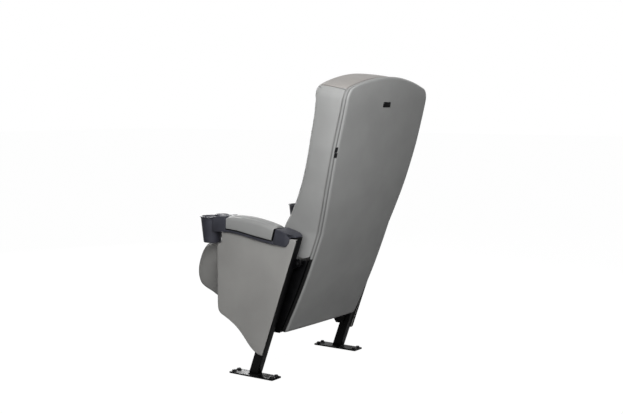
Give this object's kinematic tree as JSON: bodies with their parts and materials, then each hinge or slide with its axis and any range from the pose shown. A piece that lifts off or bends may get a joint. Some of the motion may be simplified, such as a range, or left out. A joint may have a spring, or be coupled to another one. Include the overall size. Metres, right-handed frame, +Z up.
{
  "type": "tip up auditorium seat",
  "caption": "High-backed auditorium seat with a tip-up cushion, padded arms with cup holders and upholstered end panels, on two leaning legs bolted to the floor.",
  "frame": {"origin": "on the floor, below the middle of the whole seat's outline as seen from above", "axes": "+Z up; the sitter faces -Y; +X is the sitter's left"},
  "size_m": [0.66, 0.7592, 1.123],
  "materials": {
    "upholstery": "matte",
    "charcoal_plastic": "satin",
    "black_steel": "satin",
    "black_board": "matte",
    "black_plastic": "matte",
    "rubber": "matte",
    "bolt_steel": "satin"
  },
  "bodies": {
    "frame": {"anchor_bolt_left_1": "bolt_steel", "anchor_bolt_left_2": "bolt_steel", "anchor_bolt_left_3": "bolt_steel", "anchor_bolt_left_4": "bolt_steel", "anchor_bolt_right_1": "bolt_steel", "anchor_bolt_right_2": "bolt_steel", "anchor_bolt_right_3": "bolt_steel", "anchor_bolt_right_4": "bolt_steel", "arm_base_left": "charcoal_plastic", "arm_base_right": "charcoal_plastic", "arm_pad_left": "upholstery", "arm_pad_right": "upholstery", "arm_rail_left": "black_steel", "arm_rail_right": "black_steel", "back_bolt_lower_left": "bolt_steel", "back_bolt_lower_right": "bolt_steel", "back_bolt_upper_left": "bolt_steel", "back_bolt_upper_right": "bolt_steel", "back_cushion": "upholstery", "back_ear_left": "black_steel", "back_ear_right": "black_steel", "back_frame": "black_steel", "back_outer_panel": "upholstery", "back_shell": "black_board", "back_sleeve_lower_left": "black_steel", "back_sleeve_lower_right": "black_steel", "back_sleeve_upper_left": "black_steel", "back_sleeve_upper_right": "black_steel", "cup_holder_left": "charcoal_plastic", "cup_holder_right": "charcoal_plastic", "end_panel_board_left": "black_board", "end_panel_board_right": "black_board", "end_panel_cover_left": "upholstery", "end_panel_cover_right": "upholstery", "foot_plate_left": "black_steel", "foot_plate_right": "black_steel", "leg_left": "black_steel", "leg_plug_left": "black_plastic", "leg_plug_right": "black_plastic", "leg_right": "black_steel", "panel_screw_1_left": "bolt_steel", "panel_screw_1_right": "bolt_steel", "panel_screw_2_left": "bolt_steel", "panel_screw_2_right": "bolt_steel", "pivot_pin_left": "bolt_steel", "pivot_pin_right": "bolt_steel", "seat_bracket_left": "black_steel", "seat_bracket_right": "black_steel", "stop_buffer_left": "rubber", "stop_buffer_right": "rubber", "stop_peg_left": "black_steel", "stop_peg_right": "black_steel"},
    "seat": {"hinge_plate_left": "black_steel", "hinge_plate_right": "black_steel", "pivot_bush_left": "black_plastic", "pivot_bush_right": "black_plastic", "seat_cross_tube": "black_steel", "seat_cushion": "upholstery", "seat_pan": "black_steel"}
  },
  "joints": [
    {"name": "seat_tip", "type": "hinge", "parent": "frame", "child": "seat", "pos_m": [0, -0.03513, 0.325], "axis": [-1, 0, 0], "range_deg": [0, 49]}
  ]
}
